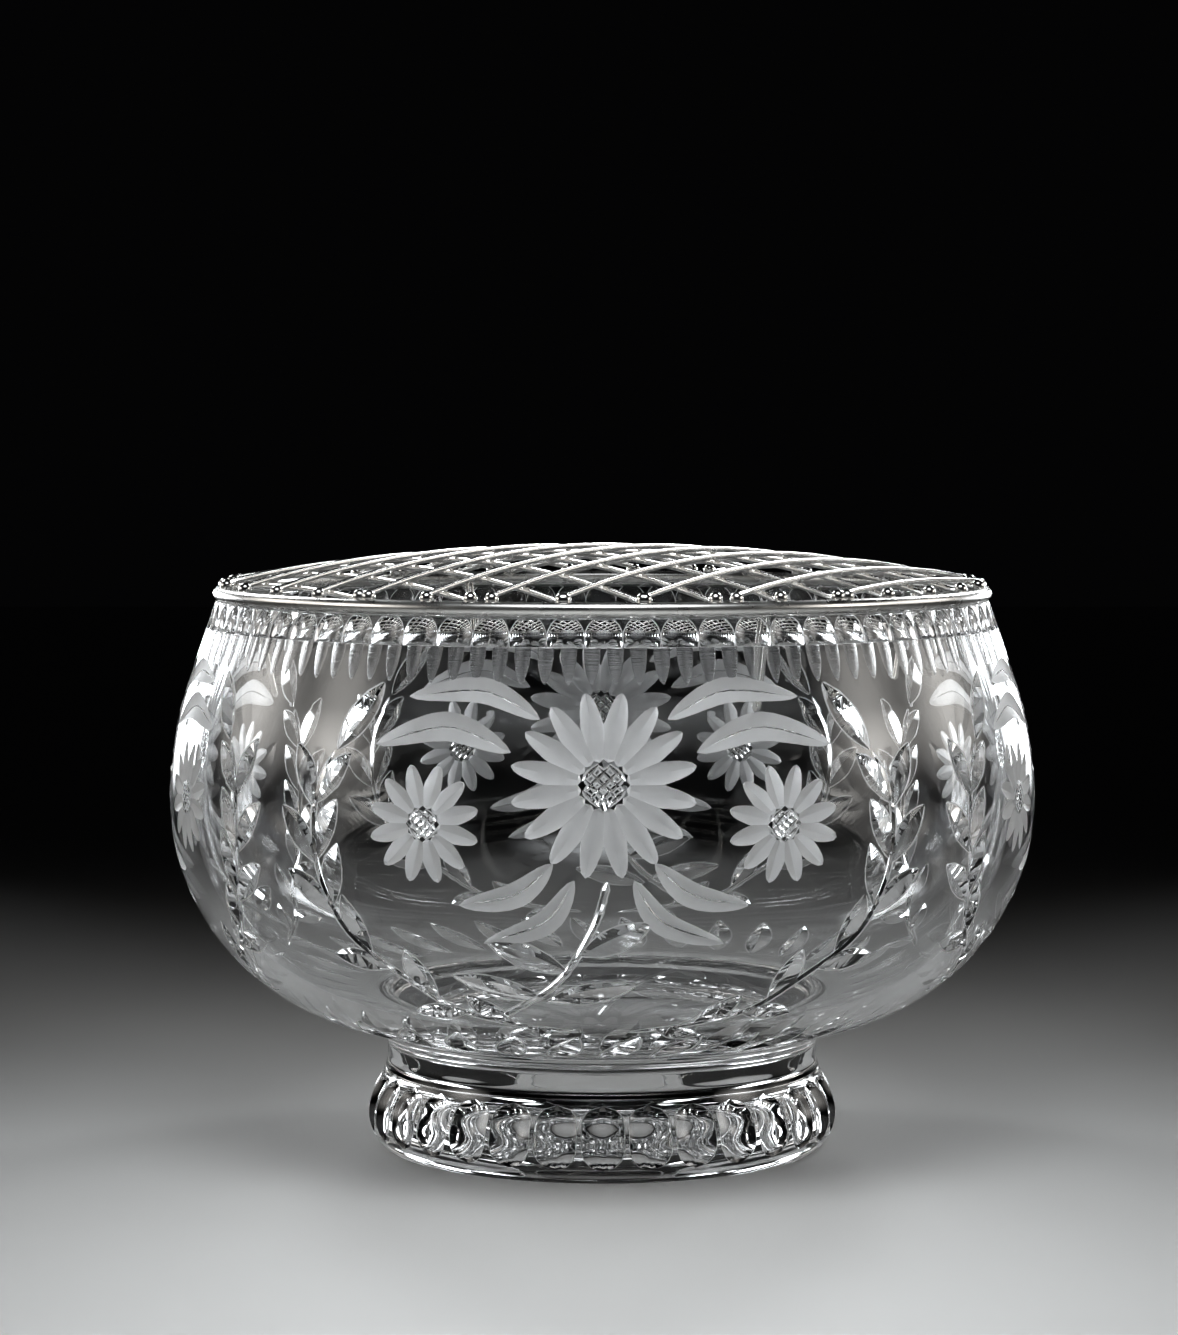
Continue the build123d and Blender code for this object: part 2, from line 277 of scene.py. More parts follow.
class GlassShape:
    """Outline of the uncut glass and places on its outer wall."""

    def __init__(self, blank):
        self.blank = blank
        self.lean = blank.shoulder_lean
        self.shoulder_centre = blank.belly_radius - blank.shoulder_arc
        self.lower_centre = blank.belly_radius - blank.lower_arc
        self.shoulder_top = blank.belly_height + blank.shoulder_arc * sin(self.lean)
        self.outline = self.foot_side() + self.outer_side() + self.rim() + self.inner_side()

    def shoulder_radius(self, height, inside):
        """Radius of the straight shoulder at a height, so far inside the outer face."""
        start = self.shoulder_centre + (self.blank.shoulder_arc * cos(self.lean) - inside / cos(self.lean))
        return start - (height - self.shoulder_top) * tan(self.lean)

    def foot_side(self):
        """From the axis under the foot up to the seam."""
        b = self.blank
        swell = b.foot_radius - b.base_radius
        base_arc = (swell**2 + b.foot_bulge**2) / (2 * swell)
        rise = b.seam_height - b.foot_bulge
        ogee_turn = 2 * atan2(b.foot_radius - b.neck_radius, rise)
        ogee_arc = rise / (2 * sin(ogee_turn))
        recess_arc = (b.recess_radius**2 + b.recess_depth**2) / (2 * b.recess_depth)
        recess_turn = asin(b.recess_radius / recess_arc)
        return [
            Arc((0, b.recess_depth - recess_arc), recess_arc, pi / 2, pi / 2 - recess_turn),
            Straight((b.recess_radius, 0), (b.base_radius, 0)),
            Arc((b.foot_radius - base_arc, b.foot_bulge), base_arc, -asin(b.foot_bulge / base_arc), 0),
            Arc((b.foot_radius - ogee_arc, b.foot_bulge), ogee_arc, 0, ogee_turn),
            Arc((b.neck_radius + ogee_arc, b.seam_height), ogee_arc, pi + ogee_turn, pi),
        ]

    def outer_side(self):
        """From the seam up to the lip."""
        b = self.blank
        fillet_x = b.neck_radius + b.neck_fillet
        fillet_rise = sqrt((b.lower_arc + b.neck_fillet) ** 2 - (fillet_x - self.lower_centre) ** 2)
        turn = atan2(fillet_rise, fillet_x - self.lower_centre)
        fillet_y = b.belly_height - fillet_rise
        lip = b.rim_height - b.rim_round
        lip_centre = self.shoulder_radius(lip, b.rim_round)
        lip_start = (lip_centre + b.rim_round * cos(self.lean), lip + b.rim_round * sin(self.lean))
        return [
            Straight((b.neck_radius, b.seam_height), (b.neck_radius, fillet_y)),
            Arc((fillet_x, fillet_y), b.neck_fillet, pi, pi - turn),
            Arc((self.lower_centre, b.belly_height), b.lower_arc, -turn, 0),
            Arc((self.shoulder_centre, b.belly_height), b.shoulder_arc, 0, self.lean),
            Straight((self.shoulder_radius(self.shoulder_top, 0), self.shoulder_top), lip_start),
        ]

    def rim(self):
        """Over the rim, with both edges rounded."""
        b = self.blank
        lip = b.rim_height - b.rim_round
        outer = self.shoulder_radius(lip, b.rim_round)
        inner = self.shoulder_radius(lip, b.wall - b.rim_round)
        return [
            Arc((outer, lip), b.rim_round, self.lean, pi / 2),
            Straight((outer, b.rim_height), (inner, b.rim_height)),
            Arc((inner, lip), b.rim_round, pi / 2, pi + self.lean),
        ]

    def inner_side(self):
        """From the lip down inside to the axis on the floor."""
        b = self.blank
        lip = b.rim_height - b.rim_round
        lip_centre = self.shoulder_radius(lip, b.wall - b.rim_round)
        top = (lip_centre - b.rim_round * cos(self.lean), lip - b.rim_round * sin(self.lean))
        arc = b.shoulder_arc - b.wall
        start = (self.shoulder_centre + arc * cos(self.lean), b.belly_height + arc * sin(self.lean))
        floor = b.belly_height - b.lower_arc + b.wall
        return [
            Straight(top, start),
            Arc((self.shoulder_centre, b.belly_height), arc, self.lean, 0),
            Arc((self.lower_centre, b.belly_height), b.lower_arc - b.wall, 0, -pi / 2),
            Straight((self.lower_centre, floor), (0, floor)),
        ]

    def outline_points(self, longest=3.0 * MM, sharpest=radians(10)):
        """Points along the whole outline, from the axis under the foot to the axis on the floor."""
        points = [self.outline[0].at(0)]
        for stretch in self.outline:
            count = ceil(stretch.length / longest)
            if isinstance(stretch, Arc):
                count = max(count, ceil(stretch.length / stretch.radius / sharpest))
            points += [stretch.at((n + 1) / count) for n in range(count)]
        return points

    def reach(self, rise):
        """Radius, height and normal of the outer wall at a rise."""
        b = self.blank
        straight_from = b.shoulder_arc * self.lean
        if rise < 0:
            turn = rise / b.lower_arc
            spot = (self.lower_centre + b.lower_arc * cos(turn), b.belly_height + b.lower_arc * sin(turn))
            return *spot, cos(turn), sin(turn)
        turn = min(rise, straight_from) / b.shoulder_arc
        past = max(rise - straight_from, 0)
        across = self.shoulder_centre + b.shoulder_arc * cos(turn) - past * sin(self.lean)
        height = b.belly_height + b.shoulder_arc * sin(turn) + past * cos(self.lean)
        return across, height, cos(turn), sin(turn)

    def site(self, angle, rise):
        """Place on the outer wall and the way out of the glass there."""
        across, height, out, up = self.reach(rise)
        turn = radians(angle)
        place = Vector((across * sin(turn), -across * cos(turn), height))
        return place, Vector((out * sin(turn), -out * cos(turn), up))

    def foot_site(self, angle, height):
        """Place on the foot's side at a height and the way out of the glass there."""
        for stretch in self.outline[2:5]:
            if height <= stretch.at(1)[1]:
                break
        up = height - stretch.centre[1]
        side = 1 if stretch.facing > 0 else -1
        across = stretch.centre[0] + side * sqrt(stretch.radius**2 - up**2)
        out = stretch.normals(np.array(across), np.array(height))
        turn = radians(angle)
        place = Vector((across * sin(turn), -across * cos(turn), height))
        return place, Vector((out[0] * sin(turn), -out[0] * cos(turn), out[1]))

    def spot(self, centre, east, north):
        """Angle and rise of a point so far east and north of a centre on the wall."""
        rise = centre[1] + north
        return centre[0] + np.degrees(east / self.reach(rise)[0]), rise


CLEAR = 1.2 * MM  # how far a cutter stands out of the glass
EDGE_DROP = 0.07 * MM  # the fine edge of a polished cut
EDGE_WIDTH = 0.7 * MM
LEAF_EDGE = 1.1 * MM  # wider on leaves and stems
LEAST_WALL = 0.01 * MM  # what is left of a V cut's wall where the cut runs out
DISH_END = 0.03 * MM  # half width of a dish where it ends, and how far its end lifts off the glass
STEM_END = 0.05 * MM  # how far the end of a stem line lifts off the glass
STEM_END_STEPS = 3  # steps over which a stem line runs out
DISH_STEPS = [-1.18, -0.7, 0.0, 0.7, 1.18]  # places across a section, as shares of its half width
FLUTE_STEPS = [-0.95, -0.5, 0.0, 0.5, 0.95]
SCOOP_STEPS = [0.2, 0.45, 0.7, 0.88, 0.97]  # rings of a scoop, from its deepest point outwards
SCOOP_TURNS = 36  # points round each ring
# Faces of the fine edges that take the near-white painted-glint finish, round a V cutter's section and round
# a flute's.
MITRE_EDGES = (2, 5)  # faces of the fine edges round a cutter's section
FLUTE_EDGES = (2, 7)


def mitre(depth, slope):
    """Section of a V wheel with fine edges, as steps across the cut and out of the glass."""
    wall_top = max(-EDGE_DROP, -depth + LEAST_WALL)
    wall = (wall_top + depth) * slope
    edge = wall + LEAF_EDGE
    side = [(wall, wall_top), (edge, wall_top + 2 * EDGE_DROP), (edge + CLEAR / 2, CLEAR)]
    return [(-across, lift) for across, lift in reversed(side)] + [(0.0, -depth)] + side


def dish(half, depth):
    """Section of a round-faced wheel."""
    floor = [(u * half, -depth * (1 - u * u)) for u in DISH_STEPS]
    return [(floor[0][0], CLEAR)] + floor + [(floor[-1][0], CLEAR)]


def flute(half, depth):
    """Section of a round-faced wheel with fine edges."""
    reach = FLUTE_STEPS[-1]
    drop = min(EDGE_DROP, depth)
    floor = [(u * half, -drop - (depth - drop) * (1 - (u / reach) ** 2)) for u in FLUTE_STEPS]
    edge = half + EDGE_WIDTH / 2
    side = [(edge, EDGE_DROP), (edge + CLEAR / 2, CLEAR)]
    return [(-across, lift) for across, lift in reversed(side)] + floor + side


def trench(shape, path, sections):
    """Rings of a cutter that follows a path of angles and rises on the outer wall."""
    rings = []
    for n, (angle, rise) in enumerate(path):
        back = path[max(n - 1, 0)]
        ahead = path[min(n + 1, len(path) - 1)]
        east = radians(ahead[0] - back[0]) * shape.reach(rise)[0]
        north = ahead[1] - back[1]
        run = hypot(east, north)
        ring = []
        for across, lift in sections[n]:
            spot = shape.spot((angle, rise), -across * north / run, across * east / run)
            place, out = shape.site(*spot)
            ring.append(place + out * lift)
        rings.append(ring)
    return rings


def flowing(points, count):
    """Smooth run of points through the given ones."""
    last = len(points) - 1
    run = []
    for n in range(count):
        place = n / (count - 1) * last
        k = min(int(place), last - 1)
        t = place - k
        near = [np.array(points[min(max(k + i, 0), last)], dtype=float) for i in (-1, 0, 1, 2)]
        a, b, c, d = near
        square = 2 * a - 5 * b + 4 * c - d
        cube = 3 * b - a - 3 * c + d
        run.append(tuple(0.5 * (2 * b + (c - a) * t + square * t**2 + cube * t**3)))
    return run


class WheelBench:
    """Collects cutters, each a closed solid, and takes them out of the blank together."""

    def __init__(self, scene, painted_glint_finish):
        self.painted_glint_finish = painted_glint_finish
        self.collection = bpy.data.collections.new("wheel_cuts")
        scene.collection.children.link(self.collection)

    def add(self, name, solids, finish, edges=(), edge_ring=None):
        """One cutter of lofted solids that don't touch each other, with fine edges on some of its faces,
        which take the near-white painted-glint finish.
        """
        made = bmesh.new()
        for rings in solids:
            loops = [[made.verts.new(point) for point in ring] for ring in rings]
            for n, (near, far) in enumerate(zip(loops, loops[1:])):
                for k in range(len(near)):
                    face = made.faces.new((near[k - 1], near[k], far[k], far[k - 1]))
                    # Faces of the fine edges take the second material, the near-white painted glint.
                    face.material_index = int(k in edges or n == edge_ring)
            made.faces.new(loops[0])
            made.faces.new(loops[-1])
        bmesh.ops.recalc_face_normals(made, faces=made.faces)
        mesh = bpy.data.meshes.new(name)
        made.to_mesh(mesh)
        made.free()
        mesh.materials.append(finish)
        mesh.materials.append(self.painted_glint_finish)
        self.collection.objects.link(bpy.data.objects.new(name, mesh))

    def add_row(self, name, solids, finish, edges=(), edge_ring=None):
        """Two cutters for a row of solids, because neighbours in the row touch."""
        for first in (0, 1):
            self.add(f"{name}_{first}", solids[first::2], finish, edges, edge_ring)

    def cut(self, blank):
        """Mesh of the blank with every cut taken out; the cutters are cleared away."""
        wheel = blank.modifiers.new("wheel_cuts", "BOOLEAN")
        wheel.operation = "DIFFERENCE"
        wheel.operand_type = "COLLECTION"
        wheel.collection = self.collection
        wheel.solver = "MANIFOLD"
        wheel.material_mode = "TRANSFER"
        graph = bpy.context.evaluated_depsgraph_get()
        mesh = bpy.data.meshes.new_from_object(blank.evaluated_get(graph), depsgraph=graph)
        blank.modifiers.remove(wheel)
        for cutter in list(self.collection.objects):
            mesh_used = cutter.data
            bpy.data.objects.remove(cutter)
            bpy.data.meshes.remove(mesh_used)
        bpy.data.collections.remove(self.collection)
        return mesh


ON_AXIS = 1e-7  # a point nearer the axis than this is on it
SAME_POINT = 1e-8  # corners nearer than this are one corner


def blank_mesh(shape):
    """The glass turned from its outline."""
    points = shape.outline_points()
    count = shape.blank.steps_round
    made = bmesh.new()
    rows = []
    for across, height in points:
        if across < ON_AXIS:
            rows.append([made.verts.new((0, 0, height))])
            continue
        turns = [2 * pi * n / count for n in range(count)]
        rows.append([made.verts.new((across * sin(turn), -across * cos(turn), height)) for turn in turns])
    for near, far in zip(rows, rows[1:]):
        for n in range(count):
            m = (n + 1) % count
            corners = [near[n % len(near)], near[m % len(near)], far[m % len(far)], far[n % len(far)]]
            made.faces.new(list(dict.fromkeys(corners)))
    bmesh.ops.recalc_face_normals(made, faces=made.faces)
    mesh = bpy.data.meshes.new("cut_crystal")
    made.to_mesh(mesh)
    made.free()
    return mesh


def polish(mesh, shape, sharp=radians(24)):
    """Smooths each surface of the cut glass and keeps every edge of a cut crisp."""
    made = bmesh.new()
    made.from_mesh(mesh)
    bmesh.ops.dissolve_degenerate(made, dist=SAME_POINT, edges=made.edges)
    for face in made.faces:
        face.smooth = True
    for edge in made.edges:
        sides = edge.link_faces
        same = len(sides) == 2 and sides[0].material_index == sides[1].material_index
        edge.smooth = same and edge.calc_face_angle(0) < sharp
    made.to_mesh(mesh)
    made.free()
    uncut = mesh.materials[0].name
    places = np.empty(len(mesh.vertices) * 3)
    mesh.vertices.foreach_get("co", places)
    places = places.reshape(-1, 3)
    faces = [f for f in mesh.polygons if mesh.materials[f.material_index].name == uncut]
    centres = np.array([f.center for f in faces])
    misses = np.stack([s.miss(np.hypot(centres[:, 0], centres[:, 1]), centres[:, 2]) for s in shape.outline])
    nearest = misses.argmin(axis=0)
    normals = np.zeros((len(mesh.loops), 3))
    for number, stretch in enumerate(shape.outline):
        loops = [k for f, near in zip(faces, nearest) if near == number for k in f.loop_indices]
        if not loops:
            continue
        spots = places[[mesh.loops[k].vertex_index for k in loops]]
        reach = np.hypot(spots[:, 0], spots[:, 1])
        flat = stretch.normals(reach, spots[:, 2])
        round_ = spots[:, :2] / np.maximum(reach, ON_AXIS)[:, None]
        normals[loops] = np.column_stack([round_ * flat[:, :1], flat[:, 1]])
    mesh.normals_split_custom_set([tuple(n) for n in normals])


def round_panels(points, mirror=1):
    """The same run of angles and rises on each panel."""
    return [[(mirror * angle + 360 * n / PANELS, rise) for angle, rise in points] for n in range(PANELS)]


DEGREE = radians(1) * 0.115  # length of a degree round the belly


def leaf_path(base, tip, bend=0.0, reach=1.12, count=13):
    """Line of a leaf cut from its base to its tip, run out past both, with a sideways bow."""
    run = []
    for n in range(count):
        t = reach * (2 * n / (count - 1) - 1)
        bow = bend * (1 - t * t)
        along = ((tip[0] - base[0]) * DEGREE, tip[1] - base[1])
        length = hypot(*along)
        angle = (base[0] + tip[0]) / 2 + (tip[0] - base[0]) / 2 * t - bow * along[1] / length / DEGREE
        rise = (base[1] + tip[1]) / 2 + (tip[1] - base[1]) / 2 * t + bow * along[0] / length
        run.append((angle, rise, t))
    return run


def cut_leaf(bench, shape, name, base, tip, width, depth, finish, bend=0.0, mirror=1):
    """Polished leaf on every panel: a V cut that runs out at both ends."""
    run = leaf_path(base, tip, bend)
    sections = [mitre(depth * (1 - t * t), width / 2 / depth) for _, _, t in run]
    paths = round_panels([(angle, rise) for angle, rise, _ in run], mirror)
    bench.add(name, [trench(shape, path, sections) for path in paths], finish, MITRE_EDGES)


def cut_stem(bench, shape, name, points, depth, finish, slope=1.3, mirror=1, count=40):
    """Polished stem line on every panel, as a V cut of even width."""
    run = flowing(points, count)
    sections = []
    for n in range(count):
        end = min(n, count - 1 - n) / STEM_END_STEPS
        sections.append(mitre(depth * min(1.0, end) - STEM_END * (end == 0), slope))
    solids = [trench(shape, path, sections) for path in round_panels(run, mirror)]
    bench.add(name, solids, finish, MITRE_EDGES)


def cut_petal(bench, shape, name, points, half, depth, finish, blunt=0.8, full=0.6, mirror=1, count=13):
    """Matt petal or blade on every panel: a shallow dish that narrows to both ends."""
    # Blunt shifts the widest place along the petal, and full rounds its ends.
    run = flowing(points, count)
    sections = []
    for n in range(count):
        share = max(sin(pi * (n / (count - 1)) ** blunt), 0.0) ** full
        wide = max(share * half, DISH_END)
        sections.append(dish(wide, depth * sqrt(share) - DISH_END))
    bench.add(name, [trench(shape, path, sections) for path in round_panels(run, mirror)], finish)


def cut_rim(bench, shape, cuts, finish):
    """Row of thumb scoops below the rim, each ended by a sloping sill at the ledge."""
    reach = SCOOP_STEPS[-1]
    half_wide, half_high = cuts.scoop_width / 2, cuts.scoop_height / 2
    sill = cuts.ledge_rise - cuts.scoop_rise
    levels = []
    for q in SCOOP_STEPS:
        drop = EDGE_DROP + (cuts.scoop_depth - EDGE_DROP) * (1 - (q / reach) ** 2)
        levels.append((half_wide * q, half_high * q, -drop, sill + drop))
    for past, lift in ((EDGE_WIDTH / 2, EDGE_DROP), (EDGE_WIDTH / 2 + CLEAR / 2, CLEAR)):
        levels.append((half_wide + past, half_high + past, lift, sill - past))
    solids = []
    for n in range(cuts.scoops):
        rings = []
        for wide, high, lift, lowest in levels:
            ring = []
            for k in range(SCOOP_TURNS):
                turn = 2 * pi * k / SCOOP_TURNS
                north = max(high * sin(turn), lowest)
                spot = shape.spot((360 * n / cuts.scoops, cuts.scoop_rise), wide * cos(turn), north)
                place, out = shape.site(*spot)
                ring.append(place + out * lift)
            rings.append(ring)
        solids.append(rings)
    # The ring of fine edges round each scoop takes the near-white painted-glint finish.
    bench.add_row("rim_scoops", solids, finish, edge_ring=len(SCOOP_STEPS) - 1)


FRINGE_RINGS = 8
FRINGE_TAPER = 2.4  # how late a tongue begins to narrow
FRINGE_TIP = 0.8  # how round its tip is


def cut_fringe(bench, shape, cuts, finish):
    """Row of matt tongues that hang from the ledge."""
    solids = []
    for n in range(cuts.fringe):
        angle = 360 * (n + 0.5) / cuts.fringe
        path = []
        sections = []
        for k in range(FRINGE_RINGS):
            t = k / (FRINGE_RINGS - 1)
            path.append((angle, cuts.ledge_rise - t * cuts.fringe_length))
            half = max(cuts.fringe_width / 2 * (1 - t**FRINGE_TAPER) ** FRINGE_TIP, DISH_END)
            sections.append(dish(half, cuts.fringe_depth * (1 - t) ** 0.5 - DISH_END * t))
        solids.append(trench(shape, path, sections))
    bench.add_row("fringe", solids, finish)


FLUTE_RINGS = 17
FLUTE_LOW_END = 0.4  # share of a flute's height in its round lower end
FLUTE_HIGH_END = 0.3  # and in its round upper end


def cut_foot(bench, shape, cuts, finish):
    """Thumbprint flutes round the foot's bulge, with round ends."""
    solids = []
    for n in range(cuts.flutes):
        rings = []
        for k in range(FLUTE_RINGS):
            t = k / (FLUTE_RINGS - 1)
            end = max(1 - t / FLUTE_LOW_END, (t - (1 - FLUTE_HIGH_END)) / FLUTE_HIGH_END, 0.0)
            share = sqrt(max(1 - end**2, 0.0))
            height = cuts.flute_low + (cuts.flute_high - cuts.flute_low) * t
            middle = shape.foot_site(0, height)[0].length
            section = flute(max(share * cuts.flute_width / 2, DISH_END), cuts.flute_depth * share - DISH_END)
            ring = []
            for across, lift in section:
                place, out = shape.foot_site(360 * n / cuts.flutes + degrees(across / middle), height)
                ring.append(place + out * lift)
            rings.append(ring)
        solids.append(rings)
    bench.add_row("foot_flutes", solids, finish, FLUTE_EDGES)


LEAF_WIDTH = 7.0 * MM  # leaves that stand alone
LEAF_BOW = 0.8 * MM  # sideways bow of a spray leaf
LEAF_GAP = 1.0 * MM  # between a stem and its leaves
LEAF_SPLAY = radians(30)  # between the lines of a stem and its leaves
SPRAY_STEPS = 100
SPRAY_STEM = [  # angles in degrees and rises in millimetres
    (3.0, -57.5), (12.0, -54.5), (21.2, -48.8), (27.6, -37.7), (33.9, -26.3), (36.5, -14.1), (37.5, -3.3),
    (37.2, 9.6), (34.8, 20.5)]
SPRAY_TOP = ((34.7, 20.0 * MM), (29.0, 37.5 * MM))  # base and tip of the leaf at the top
SPRAY_LEAVES = [  # share of the stem, side, length and width in millimetres
    (0.07, 1, 16, 6.2), (0.14, -1, 16, 6.2), (0.23, 1, 17, 6.4), (0.29, -1, 17, 6.4),
    (0.40, 1, 17.5, 6.4), (0.44, -1, 17, 6.2), (0.55, 1, 17.5, 6.4), (0.57, -1, 16.5, 6.2),
    (0.69, 1, 17.5, 6.4), (0.70, -1, 16.5, 6.2), (0.83, 1, 17, 6.2), (0.84, -1, 16, 6.0)]


def cut_sprays(bench, shape, cuts, finish):
    """Polished leaf sprays that rise between the panels from a garland under the belly."""
    stem = [(angle, rise * MM) for angle, rise in SPRAY_STEM]
    run = flowing(stem, SPRAY_STEPS + 1)
    for side, mirror in (("right", 1), ("left", -1)):
        cut_stem(bench, shape, f"spray_stem_{side}", stem, cuts.stem_depth, finish, mirror=mirror)
        cut_leaf(bench, shape, f"spray_top_{side}", *SPRAY_TOP, LEAF_WIDTH, cuts.leaf_depth, finish,
                 mirror=mirror)
        for n, (share, hand, length, width) in enumerate(SPRAY_LEAVES):
            k = round(share * SPRAY_STEPS)
            here, ahead = run[k], run[min(k + 2, SPRAY_STEPS)]
            east, north = (ahead[0] - here[0]) * DEGREE, ahead[1] - here[1]
            turn = atan2(north, east) - hand * LEAF_SPLAY
            start = (here[0] + LEAF_GAP * cos(turn) / DEGREE, here[1] + LEAF_GAP * sin(turn))
            tip = (start[0] + length * MM * cos(turn) / DEGREE, start[1] + length * MM * sin(turn))
            cut_leaf(bench, shape, f"spray_leaf_{side}_{n}", start, tip, width * MM, cuts.leaf_depth, finish,
                     bend=hand * LEAF_BOW, mirror=mirror)


EYE_LINES = 5  # each way across a daisy's eye
EYE_DEPTH = 0.45 * MM
EYE_SLOPE = 1.2
EYE_STEPS = 9
EYE_FILL = 0.95  # share of the eye's width that a line runs over
EYE_SHIFT = 0.03 * MM  # keeps crossing lines from meeting in one point


def cut_daisy(bench, shape, name, centre, sizes, cuts, matt, clear):
    """Daisy of matt petals round a cross-hatched eye, on every panel."""
    inner, outer, petals, half = sizes
    for n in range(petals):
        turn = 2 * pi * (n + 0.5) / petals
        steps = (inner, (inner + outer) / 2, outer)
        points = [shape.spot(centre, step * cos(turn), step * sin(turn)) for step in steps]
        cut_petal(bench, shape, f"{name}_petal_{n}", points, half, cuts.petal_depth, matt)
    for slant in (1, -1):
        for k in range(EYE_LINES):
            aside = (k - (EYE_LINES - 1) / 2) * 2 * inner / EYE_LINES + slant * EYE_SHIFT
            half_line = sqrt(max(inner**2 - aside**2, 0)) * EYE_FILL
            line = []
            for t in (-1, 0, 1):
                along = t * half_line
                east = (along - slant * aside) * sqrt(0.5)
                north = (slant * along + aside) * sqrt(0.5)
                line.append(shape.spot(centre, east, north))
            cut_stem(bench, shape, f"{name}_eye_{slant}_{k}", line, EYE_DEPTH, clear,
                     slope=EYE_SLOPE, count=EYE_STEPS)


# Of a daisy: radius of the eye and of the whole, number of petals, half width of a petal.
GREAT_DAISY = (5.4 * MM, 22.5 * MM, 16, 2.9 * MM)
GREAT_CENTRE = (0.0, 13.5 * MM)
SMALL_DAISY = (3.7 * MM, 14.5 * MM, 12, 2.4 * MM)
SMALL_ANGLE = 22.0
SMALL_RISE = 3.5 * MM
RIB_DEPTH = 1.2 * MM
RIB_SLOPE = 0.45
RIB_STEPS = 12
MATT_BLADES = [  # leaves beside the daisies: points east and above the belly, and half width, in millimetres
    ([(15, 29), (29, 36), (48, 34)], 3.3),
    ([(22, 21), (38, 27), (57, 22)], 3.7),
    ([(12, -5), (21, -13), (35, -16)], 3.3),
    ([(7, -9), (14, -20), (29, -26)], 3.2),
]
PANEL_STEM = [(0.5, -9.0), (-1.5, -22.0), (-6.5, -38.0), (-16.0, -52.0)]  # angles and rises, as of a spray
PANEL_LEAVES = [  # base and tip
    ((-4.5, -34), (-15.0, -25)), ((-8.0, -43), (-20.5, -36)),
    ((-3.0, -29), (6.0, -20)), ((-8.0, -44), (4.5, -38))]


def cut_panels(bench, shape, cuts, matt, clear):
    """Generic floral panel in matt engraving: one large daisy, two small ones and leaves between."""
    cut_daisy(bench, shape, "great_daisy", GREAT_CENTRE, GREAT_DAISY, cuts, matt, clear)
    for side, mirror in (("right", 1), ("left", -1)):
        centre = (mirror * SMALL_ANGLE, SMALL_RISE)
        cut_daisy(bench, shape, f"small_daisy_{side}", centre, SMALL_DAISY, cuts, matt, clear)
        for n, (points, half) in enumerate(MATT_BLADES):
            spots = [shape.spot((0, 0), x * MM, y * MM) for x, y in points]
            cut_petal(bench, shape, f"blade_{side}_{n}", spots, half * MM, cuts.petal_depth, matt,
                      blunt=1.0, full=0.8, mirror=mirror)
            cut_stem(bench, shape, f"blade_rib_{side}_{n}", spots, RIB_DEPTH, clear,
                     slope=RIB_SLOPE, mirror=mirror, count=RIB_STEPS)
    stem = [(angle, rise * MM) for angle, rise in PANEL_STEM]
    cut_stem(bench, shape, "panel_stem", stem, cuts.stem_depth, clear)
    for n, (base, tip) in enumerate(PANEL_LEAVES):
        base, tip = (base[0], base[1] * MM), (tip[0], tip[1] * MM)
        cut_leaf(bench, shape, f"panel_leaf_{n}", base, tip, LEAF_WIDTH, cuts.leaf_depth, clear)


WREATH_BASE = -82 * MM
WREATH_TIP = -60 * MM
WREATH_LEAN = 6.0  # degrees that a leaf leans round the bowl
WREATH_DEPTH = 1.5 * MM
WREATH_SLOPE = 2.5


def cut_wreath(bench, shape, cuts, finish):
    """Leaf cuts that fan out under the bowl, round the neck."""
    solids = []
    for n in range(cuts.wreath):
        angle = 360 * n / cuts.wreath
        run = leaf_path((angle, WREATH_BASE), (angle + WREATH_LEAN, WREATH_TIP))
        sections = [mitre(WREATH_DEPTH * (1 - t * t), WREATH_SLOPE) for _, _, t in run]
        solids.append(trench(shape, [(a, rise) for a, rise, _ in run], sections))
    bench.add_row("wreath", solids, finish, MITRE_EDGES)


